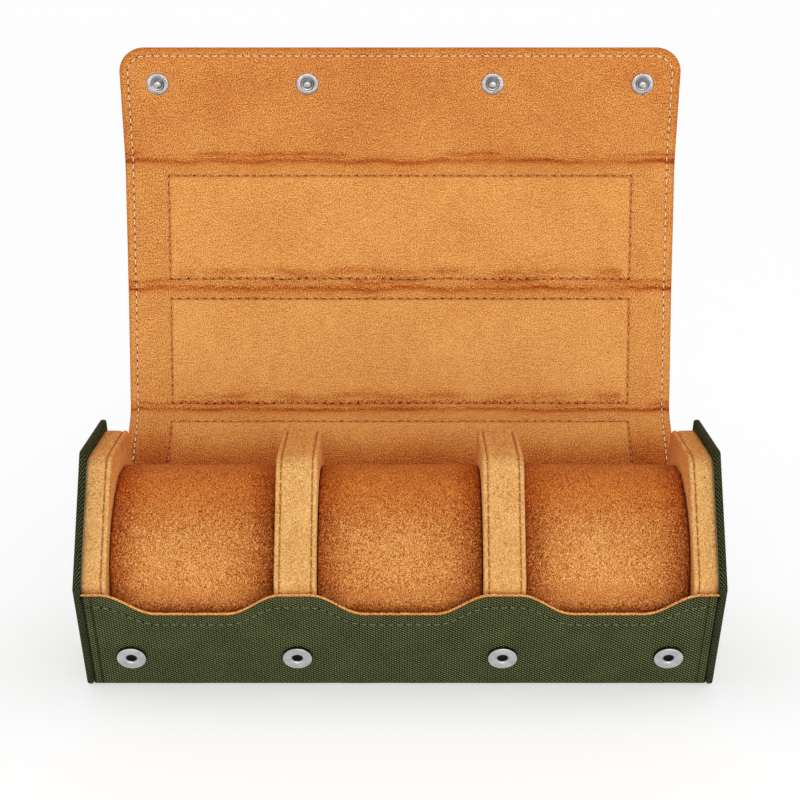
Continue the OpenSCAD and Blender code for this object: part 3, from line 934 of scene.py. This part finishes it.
def inflate(piece):
    """Swells a closed form with a short cloth simulation, then smooths it."""
    remesh = piece.modifiers.new("remesh", "REMESH")
    remesh.mode = "VOXEL"
    remesh.voxel_size = PILLOW_VOXEL * MM
    settle(piece, remesh)
    rest = coordinates(piece)
    cloth = piece.modifiers.new("cloth", "CLOTH")
    cloth.settings.use_pressure = True
    cloth.settings.uniform_pressure_force = 4
    cloth.settings.effector_weights.gravity = 0
    cloth.point_cache.frame_start = 1
    cloth.point_cache.frame_end = SIM_FRAMES
    scene = bpy.context.scene
    for step in range(1, SIM_FRAMES + 1):
        scene.frame_set(step)
    settle(piece, cloth)
    moved = coordinates(piece) - rest
    far = np.linalg.norm(moved, axis=1, keepdims=True)
    move_points(piece, rest + moved * np.minimum(1, PILLOW_SWELL / np.maximum(far, 1e-9)))
    scene.frame_set(1)
    for _ in range(2):
        smooth = piece.modifiers.new("smooth", "SUBSURF")
        smooth.levels = 1
        settle(piece, smooth)


def on_drum(across, out, half_width, radius):
    """The place on a drum with square rims of a point near it, as distances across and out."""
    a, r = across - (half_width - PILLOW_CORNER), out - (radius - PILLOW_CORNER)
    at_rim = (a > 0) & (r > 0)
    on_side = ~at_rim & (a > r)
    a, r = np.maximum(a, 1e-6), np.maximum(r, 1e-6)
    far = (a ** PILLOW_SQUARE + r ** PILLOW_SQUARE) ** (1 / PILLOW_SQUARE) / PILLOW_CORNER
    return (np.where(at_rim, half_width - PILLOW_CORNER + a / far, np.where(on_side, half_width, across)),
            np.where(at_rim, radius - PILLOW_CORNER + r / far, np.where(on_side, out, radius)))


def pillow_painted_shading(across, offset, below, outside, unevenness):
    """Painted light and shade of a pillow, and where its shaded colours go; below is the angle under the
    horizon of the front, in degrees.
    """
    # painted light: a glow on the upper front, fading towards the top, the bottom and the ends
    glow = np.exp(-((below + 17) / np.where(below < -17, 42, 27)) ** 2)
    glow = glow * np.exp(-np.abs((offset + 3) / 24) ** 2.6)
    # painted shade towards the ends, a little painted light over the top, and painted shade in a band on the
    # lower front
    tone = 0.5 * glow - 0.42 * ease((across - 19) / 10) + 0.14 * ease((-45 - below) / 20)
    tone = tone - 0.62 * ease((below - 5) / 8) * (1 - ease((np.abs(below) - 18) / 40))
    # the shaded pillow colours are painted over the top
    warm = ease((-30 - below) / 35) * (1 - ease((-120 - below) / 30)) * outside
    return -0.33 + tone * outside + 0.04 * unevenness, warm


def shape_pillow(piece, low, high):
    """Presses the swollen form into its place between the pads, and gives it its painted light and shade."""
    co = coordinates(piece)
    centre, half = (low + high) / 2, (high - low) / 2 + np.array([PILLOW_WIDER, 0, 0])
    local = (co - centre) / half
    radius = np.hypot(local[:, 1], local[:, 2]) * half[2]
    turn = np.arctan2(local[:, 2], local[:, 1])
    across, drum_out = on_drum(np.abs(local[:, 0]) * half[0], radius, half[0], half[2])
    lumps = 0.12 * (1 + ripple(turn * half[2], co[:, 0], 21, 101)) * ease(radius / half[2])
    out = drum_out + np.minimum(PILLOW_GIVE * (radius - drum_out), PILLOW_PROUD) - lumps
    offset = np.sign(local[:, 0]) * across
    co = np.stack([centre[0] + offset, centre[1] + half[1] * out / half[2] * np.cos(turn),
                   centre[2] + out * np.sin(turn)], -1)
    move_points(piece, co)
    below = np.degrees(np.arctan2(-local[:, 2], -local[:, 1]))
    outside = ease((radius / half[2] - 0.72) / 0.2)
    tone, warm = pillow_painted_shading(across, offset, below, outside, ripple(turn * half[2], co[:, 0], 9, 103))
    give_values(piece, tone=tone, warm=warm)
    shade_smooth(piece)


def build_pillows(suede):
    for place in ("left", "middle", "right"):
        node = "pillow_cover_" + place
        low, high = (np.array(corner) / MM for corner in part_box(node))
        piece = drum("pillow_" + place + "_soft", low, high, suede)
        inflate(piece)
        shape_pillow(piece, low, high)
        if not piece.data.materials:
            piece.data.materials.append(suede)
        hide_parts(node, "pillow_core_" + place)
        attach(piece, "pillow_" + place)


# ---------------------------------------------------------------- snaps

# Radius and height of each turned part, from its middle outwards and down to the cloth
SOCKET_FORM = (
    (0.0, 0.06), (1.0, 0.06), (2.0, 0.06), (2.0, 0.75), (2.08, 1.05), (2.3, 1.3), (2.6, 1.45), (2.8, 1.53),
    (3.0, 1.56), (3.6, 1.55), (4.4, 1.53), (5.0, 1.5), (5.3, 1.45), (5.48, 1.36), (5.56, 1.24), (5.58, 1.1),
    (5.55, 1.02), (5.6, 0.98), (5.68, 0.92), (5.7, 0.8), (5.7, 0.4), (5.7, 0.0))
SOCKET_DARK = (0, 1, 2, *range(len(SOCKET_FORM) - 6, len(SOCKET_FORM)))     # its hole and its base, in the dark metal as painted shade
STUD_FORM = (
    (0.0, 2.2), (0.5, 2.19), (0.95, 2.12), (1.3, 1.98), (1.52, 1.8), (1.62, 1.58), (1.58, 1.3), (1.42, 1.02),
    (1.38, 0.7), (1.45, 0.35), (1.7, 0.2), (2.2, 0.17), (2.6, 0.25), (2.82, 0.48), (3.02, 0.74), (3.25, 0.86),
    (3.55, 0.9), (3.9, 0.89), (4.2, 0.82), (4.45, 0.68), (4.62, 0.48), (4.7, 0.25), (4.66, 0.08), (4.6, 0.0))
STUD_DARK = (9, 10)         # the groove round the foot of its nub, in dimmer metal as painted shade
STUD_KNURL = dict(segments=112, knurl=0.36, band=(2.9, 4.6), teeth=28)
SNAP_CAP_FORM = (
    (0.0, 1.4), (1.2, 1.39), (2.4, 1.34), (3.4, 1.25), (4.2, 1.12), (4.8, 0.95), (5.3, 0.74), (5.65, 0.54),
    (5.88, 0.36), (6.0, 0.2), (5.95, 0.06), (5.9, 0.0))


def turned_part(form, place, x, segments, knurl, band, teeth):
    """Points and faces of one turned part standing on a wall, with a knurled band round its face."""
    wall, u, depth, outward = place
    w = WALLS[wall]
    along = np.array([0.0, math.sin(w.lean), math.cos(w.lean)])
    normal = np.array([0.0, -math.cos(w.lean), math.sin(w.lean)])
    origin = np.array([x, w.y, w.z]) + along * u + normal * depth
    up = -normal if outward else normal
    right = np.cross(along, up)
    turns = np.arange(segments)[None, :] / segments * 2 * math.pi
    radius, height = (np.array(form)[:, k, None] + 0 * turns for k in (0, 1))
    on_band = ease((radius - band[0]) / 0.3) * ease((band[1] - radius) / 0.3)
    height = height - on_band * knurl * (0.5 + 0.5 * np.cos(turns * teeth))
    points = (origin + right * (radius * np.cos(turns))[..., None]
              + along * (radius * np.sin(turns))[..., None] + up * height[..., None])
    faces = grid_faces(len(form) - 1, segments, closed=True, flip=True) + 1
    k = np.arange(0, segments, 2)
    middle = np.stack([k + 1, k + 2, (k + 2) % segments + 1, 0 * k], -1)
    return np.concatenate([points[0, :1], points[1:].reshape(-1, 3)]), np.concatenate([middle, faces])


def snap_piece(name, node, form, body, slot, metals, place, dark_rings=(),
               segments=64, knurl=0.0, band=(0, 0), teeth=0):
    """All four of one part of the snaps; place is its wall, arc length, depth and whether outside."""
    parts = [(*turned_part(form, place, x, segments, knurl, band, teeth), 0) for x in SNAP_XS]
    points, faces, _ = join_parts(parts)
    piece = make_piece(name, points, faces, metals[0])
    if dark_rings:
        piece.data.materials.append(metals[1])
        face = np.arange(len(faces)) % len(parts[0][1]) - segments // 2
        shaded = np.isin(face // segments + 1, dark_rings)
        piece.data.polygons.foreach_set("material_index", shaded.astype(np.int32))
    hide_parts(node)
    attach(piece, body)


def build_snaps(satin, nickel, dim, dark):
    snap_piece("sockets", "snap_sockets", SOCKET_FORM, "tray", "socket_metal", (satin, dark),
               ("front_wall", SNAP_DROP, 0.0, True), SOCKET_DARK)
    snap_piece("studs", "snap_studs", STUD_FORM, "flap", "stud_metal", (nickel, dim),
               ("flap", FLAP_SNAP_U, FLAP_T, False), STUD_DARK, **STUD_KNURL)
    snap_piece("caps", "snap_caps", SNAP_CAP_FORM, "flap", "stud_metal", (nickel,),
               ("flap", FLAP_SNAP_U, 0.0, True))


# ---------------------------------------------------------------- materials

def srgb(red, green, blue):
    """A colour from 0 to 255 values, as the linear values that a shader takes."""
    def linear(value):
        c = value / 255
        return c / 12.92 if c <= 0.04045 else ((c + 0.055) / 1.055) ** 2.4
    return (linear(red), linear(green), linear(blue), 1.0)


class Graph:
    """Short ways to add nodes to a node tree."""

    def __init__(self, tree):
        self.tree = tree

    def feed(self, value, socket):
        if isinstance(value, bpy.types.NodeSocket):
            self.tree.links.new(value, socket)
        else:
            socket.default_value = value

    def node(self, kind, inputs=None, **settings):
        made = self.tree.nodes.new("ShaderNode" + kind)
        for key, value in settings.items():
            setattr(made, key, value)
        for key, value in (inputs or {}).items():
            self.feed(value, made.inputs[key])
        return made

    def math(self, operation, *values):
        return self.node("Math", dict(enumerate(values)), operation=operation).outputs[0]

    def noise(self, vector, scale, detail=2.0, roughness=0.5, stretch=None):
        if stretch is not None:
            vector = self.node("VectorMath", {0: vector, 1: stretch}, operation="MULTIPLY").outputs[0]
        return self.node("TexNoise", {"Vector": vector, "Scale": scale, "Detail": detail,
                                      "Roughness": roughness}).outputs[0]

    def vary(self, value, *layers):
        """Adds noises to a value, each a pair of noise and weight."""
        for layer, weight in layers:
            value = self.math("MULTIPLY_ADD", self.math("SUBTRACT", layer, 0.5), weight, value)
        return value

    def limit(self, value):
        return self.math("MINIMUM", self.math("MAXIMUM", value, 0.0), 1.0)

    def ramp(self, factor, stops):
        made = self.node("ValToRGB", {"Fac": factor})
        made.color_ramp.interpolation = "B_SPLINE"
        for k, (place, *colour) in enumerate(stops):
            point = made.color_ramp.elements[k] if k < 2 else made.color_ramp.elements.new(place)
            point.position = place
            point.color = srgb(*colour)
        return made.outputs[0]

    def attribute(self, name):
        return self.node("Attribute", attribute_name=name).outputs["Fac"]

    def bump(self, height, distance, strength):
        return self.node("Bump", {"Height": height, "Distance": distance, "Strength": strength}).outputs[0]

    def coordinate(self, kind="Object"):
        return self.node("TexCoord").outputs[kind]


class Shader(Graph):
    """A new material with a principled shader."""

    def __init__(self, name, **sockets):
        self.material = bpy.data.materials.new(name)
        self.material.use_nodes = True
        super().__init__(self.material.node_tree)
        self.bsdf = next(n for n in self.tree.nodes if n.type == "BSDF_PRINCIPLED")
        self.set(**sockets)

    def set(self, **sockets):
        for socket, value in sockets.items():
            self.feed(value, self.bsdf.inputs[socket.replace("_", " ")])
        return self.material


# Colours as (place, red, green, blue) from dark to light, the two ends first
LINING_COLOURS = (
    (0.0, 100, 40, 10), (1.0, 254, 206, 126), (0.22, 166, 84, 31), (0.5, 220, 138, 64), (0.78, 243, 176, 96))
# a redder shaded copy of the lining colours, painted in the creases and wherever the lining is painted darker
LINING_SHADE_COLOURS = (
    (0.0, 106, 32, 4), (1.0, 252, 190, 104), (0.22, 170, 67, 19), (0.5, 220, 116, 45), (0.78, 242, 162, 78))
PAD_COLOURS = (
    (0.0, 110, 54, 20), (1.0, 250, 212, 144), (0.22, 172, 98, 42), (0.5, 214, 152, 82), (0.78, 232, 180, 110))
# a shaded copy of the pad colours, painted on the flat sides, the top and the back
PAD_SHADE_COLOURS = (
    (0.0, 120, 52, 14), (1.0, 255, 190, 112), (0.22, 186, 94, 34), (0.5, 226, 134, 60), (0.78, 244, 162, 84))
PILLOW_COLOURS = (
    (0.0, 84, 28, 6), (1.0, 250, 204, 130), (0.25, 158, 74, 24), (0.5, 206, 122, 54), (0.78, 232, 166, 92))
# a shaded copy of the pillow colours, painted over the top
PILLOW_TOP_SHADE_COLOURS = (
    (0.0, 100, 34, 4), (1.0, 246, 172, 92), (0.25, 170, 76, 20), (0.5, 212, 116, 44), (0.78, 232, 146, 70))
CANVAS_COLOURS = ((0.0, 6, 8, 3), (1.0, 152, 156, 100), (0.3, 31, 35, 17), (0.6, 79, 85, 49))
BOARD_COLOURS = ((0.3, 138, 128, 112), (0.7, 176, 166, 148))

WEAVE_PITCH = 0.001         # metres along the cloth from thread to thread
WEAVE_RISE = 0.00128        # and from rib to rib
FLOAT_NARROW = (1.3, 2.5)   # how short and how narrow a thread is in its place
STREAK_LIE = (0.35, 1.6, 1.6)


def suede_material(name, colours, warm_colours, speckle, lie=None):
    """Suede: a fine speckled nap, faint streaks and cloudy patches, with painted light and shade from the
    tone and a shaded copy of its colours mixed in.

    The nap of a stuffed form is combed the way that lie says; a sheet has none.
    """
    s = Shader(name, Roughness=0.95, Sheen_Weight=0.06, Sheen_Roughness=0.5, Specular_IOR_Level=0.08,
               Sheen_Tint=srgb(255, 190, 130))
    at = s.coordinate("Object" if lie else "UV")
    fine = s.noise(at, 3100, 2.0, 0.6, lie)
    grain = s.noise(at, 1900, 2.0, 0.6, lie)
    streak = s.noise(at, 700, 2.0, 0.5, lie or STREAK_LIE)
    cloud = s.noise(at, 110, 3.0, 0.55)
    patch = s.noise(at, 24)
    value = s.vary(0.5, (fine, 2.0 * speckle), (grain, 1.5 * speckle), (streak, 0.3 * speckle),
                   (cloud, 0.16), (patch, 0.14))
    # painted light and shade from the tone
    value = s.limit(s.math("MULTIPLY_ADD", s.attribute("tone"), 0.42, value))
    # painted shade: the colour turns to the shaded copy as far as the second attribute says
    colour = s.node("Mix", {0: s.attribute("warm"), 6: s.ramp(value, colours),
                            7: s.ramp(value, warm_colours)}, data_type="RGBA").outputs[2]
    height = s.math("MULTIPLY_ADD", grain, 0.6, s.math("MULTIPLY", fine, 0.5))
    return s.set(Base_Color=colour, Normal=s.bump(height, 0.0003, 0.55))


def weave_mask(s, at):
    """Short raised threads, end to end in slanting ribs: height 1 on a thread, 0 between them."""
    along, rise, _ = s.node("SeparateXYZ", {0: at}).outputs
    wander = s.noise(at, 200)
    across = s.math("DIVIDE", s.math("MULTIPLY_ADD", wander, 0.0005, along), WEAVE_PITCH)
    up = s.math("DIVIDE", s.math("MULTIPLY_ADD", wander, -0.0004, rise), WEAVE_RISE)
    ribs = s.math("MULTIPLY_ADD", across, -0.5, up)
    squares = []
    for place, narrow in zip((across, ribs), FLOAT_NARROW):
        offset = s.math("MULTIPLY", s.math("SUBTRACT", s.math("FRACT", place), 0.5), narrow)
        squares.append(s.math("MULTIPLY", offset, offset))
    return s.math("SUBTRACT", 1.0, s.math("MINIMUM", s.math("ADD", *squares), 1.0))


def canvas_material(name):
    """Olive canvas: dark cloth with short light floats in slanting ribs, partly its weave and partly a
    painted highlight on the floats and painted shade between them.
    """
    s = Shader(name, Roughness=0.88, Specular_IOR_Level=0.1)
    at = s.coordinate("UV")
    mask = weave_mask(s, at)
    fibre = s.noise(at, 2600, 2.0, 0.6)
    patch = s.noise(at, 60, 3.0, 0.6)
    # the light floats and dark gaps of the weave: partly its pattern, partly painted highlight and painted
    # shade
    value = s.vary(s.math("MULTIPLY", mask, 0.8), (fibre, 1.1), (patch, 0.22))
    # painted shade from the tone: at the ends of the tray, in its stitch lines and on the edges of the caps
    value = s.limit(s.math("MULTIPLY_ADD", s.attribute("tone"), 0.4, value))
    height = s.math("MULTIPLY_ADD", fibre, 0.25, mask)
    return s.set(Base_Color=s.ramp(value, CANVAS_COLOURS), Normal=s.bump(height, 0.00028, 0.8))


def grained_material(name, colours, noise, bump=None, **sockets):
    """A plain stuff in a fine grain of colours; noise is its scale, detail and roughness."""
    s = Shader(name, **sockets)
    grain = s.noise(s.coordinate(), *noise)
    if bump:
        s.set(Normal=s.bump(grain, *bump))
    return s.set(Base_Color=s.ramp(grain, colours))


def thread_material(name, dark, light):
    return grained_material(name, ((0.3, *dark), (0.75, *light)), (1400, 2.0, 0.6), (0.0001, 0.6),
                            Roughness=0.75, Specular_IOR_Level=0.2)


# dark discs that stand in as painted shade in the needle holes
def hole_shade_material(name, dark, light):
    return grained_material(name, ((0.3, *dark), (0.8, *light)), (900, 1.0, 0.5),
                            Roughness=1.0, Specular_IOR_Level=0.0)


def board_material(name, colours, scale):
    """Pressed board or open foam, for the hidden cores."""
    return grained_material(name, colours, (scale, 4.0, 0.7), (0.0003, 0.5),
                            Roughness=0.95, Specular_IOR_Level=0.1)


def metal_material(name, dark, light, roughness, mottle):
    """Plated metal with a fine uneven finish."""
    s = Shader(name, Metallic=1.0)
    fine = s.noise(s.coordinate(), 2200, 2.0, 0.6)
    broad = s.noise(s.coordinate(), 320)
    value = s.math("MULTIPLY_ADD", fine, 0.5, s.math("MULTIPLY", broad, 0.5))
    rough = s.math("MULTIPLY_ADD", broad, 0.2, roughness - 0.1)
    return s.set(Base_Color=s.ramp(value, ((0.3, *dark), (0.7, *light))), Roughness=rough,
                 Normal=s.bump(fine, 0.00012, mottle))


def give_materials(nodes, materials):
    """The CAD nodes inside the case keep their shapes and take a material of their own."""
    for name, node in nodes.items():
        for part, material in materials.items():
            if part in name:
                node.data.materials.clear()
                node.data.materials.append(material)


# ---------------------------------------------------------------- stage

FLOOR_HALF = 30.0       # metres
FLOOR_GREY = 0.6
FLOOR_GLOW = 0.52
AMBIENT = 0.74
LIGHT_PLACE, LIGHT_TARGET = (0.35, -1.8, 0.5), (0, 0, 0.1)
LIGHT_SIZE = (1.6, 0.9)
LIGHT_POWER = 12
CAMERA_PLACE = (0, -0.743, 0.269)
CAMERA_TILT = 77.684
CAMERA_LENS = 88.0


def build_floor():
    s = Shader("floor", Base_Color=(FLOOR_GREY,) * 3 + (1,), Roughness=0.9, Specular_IOR_Level=0.1,
               Emission_Color=(1, 1, 1, 1), Emission_Strength=FLOOR_GLOW)
    mesh = bpy.data.meshes.new("floor")
    corners = [(x * FLOOR_HALF, y * FLOOR_HALF, 0) for x, y in ((-1, -1), (1, -1), (1, 1), (-1, 1))]
    mesh.from_pydata(corners, [], [(0, 1, 2, 3)])
    mesh.materials.append(s.material)
    place_object("floor", mesh)


def build_surroundings():
    """A plain level of light on the object, and white wherever the surroundings show."""
    world = bpy.data.worlds.new("surroundings")
    bpy.context.scene.world = world
    world.use_nodes = True
    world.node_tree.nodes.clear()
    g = Graph(world.node_tree)
    rays = g.node("LightPath").outputs
    seen = rays["Is Camera Ray"]
    for ray in ("Is Glossy Ray", "Is Transmission Ray"):
        seen = g.math("MAXIMUM", seen, rays[ray])
    ambient, white = (g.node("Background", {"Color": (1, 1, 1, 1), "Strength": strength}).outputs[0]
                      for strength in (AMBIENT, 1.0))
    mix = g.node("MixShader", {0: seen, 1: ambient, 2: white})
    g.node("OutputWorld", {0: mix.outputs[0]})


def build_light():
    """One broad soft light from the front."""
    data = bpy.data.lights.new("front_light", "AREA")
    data.shape = "RECTANGLE"
    data.size, data.size_y = LIGHT_SIZE
    data.energy = LIGHT_POWER
    light = place_object("front_light", data)
    light.location = LIGHT_PLACE
    aim = Vector(LIGHT_TARGET) - Vector(LIGHT_PLACE)
    light.rotation_euler = aim.to_track_quat("-Z", "Y").to_euler()


def build_camera():
    data = bpy.data.cameras.new("camera")
    data.lens = CAMERA_LENS
    data.sensor_width = 36
    camera = place_object("camera", data)
    camera.location = CAMERA_PLACE
    camera.rotation_euler = (math.radians(CAMERA_TILT), 0, 0)
    bpy.context.scene.camera = camera


def main():
    bpy.context.scene.view_settings.view_transform = "Standard"
    build_camera()
    build_floor()
    build_surroundings()
    build_light()
    lining = suede_material("lining_suede_nap", LINING_COLOURS, LINING_SHADE_COLOURS, 1.35)
    padding = suede_material("pad_suede_nap", PAD_COLOURS, PAD_SHADE_COLOURS, 0.85, (1, 0.32, 1))
    pillow = suede_material("pillow_suede_nap", PILLOW_COLOURS, PILLOW_TOP_SHADE_COLOURS, 1.15, (1.5, 0.45, 0.9))
    canvas = canvas_material("olive_canvas")
    cream = thread_material("cream_thread", (232, 188, 132), (255, 240, 204))
    tan = thread_material("tan_thread", (176, 110, 58), (226, 168, 108))
    olive = thread_material("olive_thread", (96, 106, 70), (150, 158, 120))
    deep = thread_material("dark_olive_thread", (26, 32, 16), (52, 60, 34))
    brown = thread_material("brown_thread", (150, 92, 46), (196, 132, 74))
    # painted shade in the needle holes of the stitches and of the pad seams
    hole = hole_shade_material("needle_hole", (24, 10, 5), (46, 22, 11))
    pad_hole = hole_shade_material("pad_needle_hole", (88, 46, 22), (124, 68, 36))
    satin = metal_material("satin_nickel", (164, 164, 164), (222, 222, 222), 0.42, 0.3)
    nickel = metal_material("bright_nickel", (120, 120, 124), (226, 226, 228), 0.24, 0.6)
    # dimmer and dark metals: painted shade in the stud's groove and in the socket's hole, base and posts
    dim = metal_material("dim_nickel", (76, 74, 72), (136, 134, 132), 0.4, 0.4)
    dark = metal_material("shaded_steel", (22, 21, 20), (52, 50, 48), 0.7, 0.2)
    give_materials(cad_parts, {
        "board": board_material("grey_board", BOARD_COLOURS, 900),
        "stiffener": board_material("thin_board", BOARD_COLOURS, 700),
        "foam": board_material("pad_foam", ((0.3, 212, 200, 170), (0.7, 240, 232, 208)), 1500),
        "core": board_material("pillow_filling", ((0.3, 220, 214, 200), (0.7, 244, 240, 230)), 800),
        # the posts take the dark metal as painted shade seen through the socket holes
        "posts": dark,
    })
    build_sheets(lining, canvas)
    build_lid_stitches(cream, tan, olive, hole)
    build_tray_stitches(cream, olive, deep, hole)
    build_end_caps(canvas)
    build_pads(padding, brown, pad_hole)
    build_pillows(pillow)
    build_snaps(satin, nickel, dim, dark)


main()
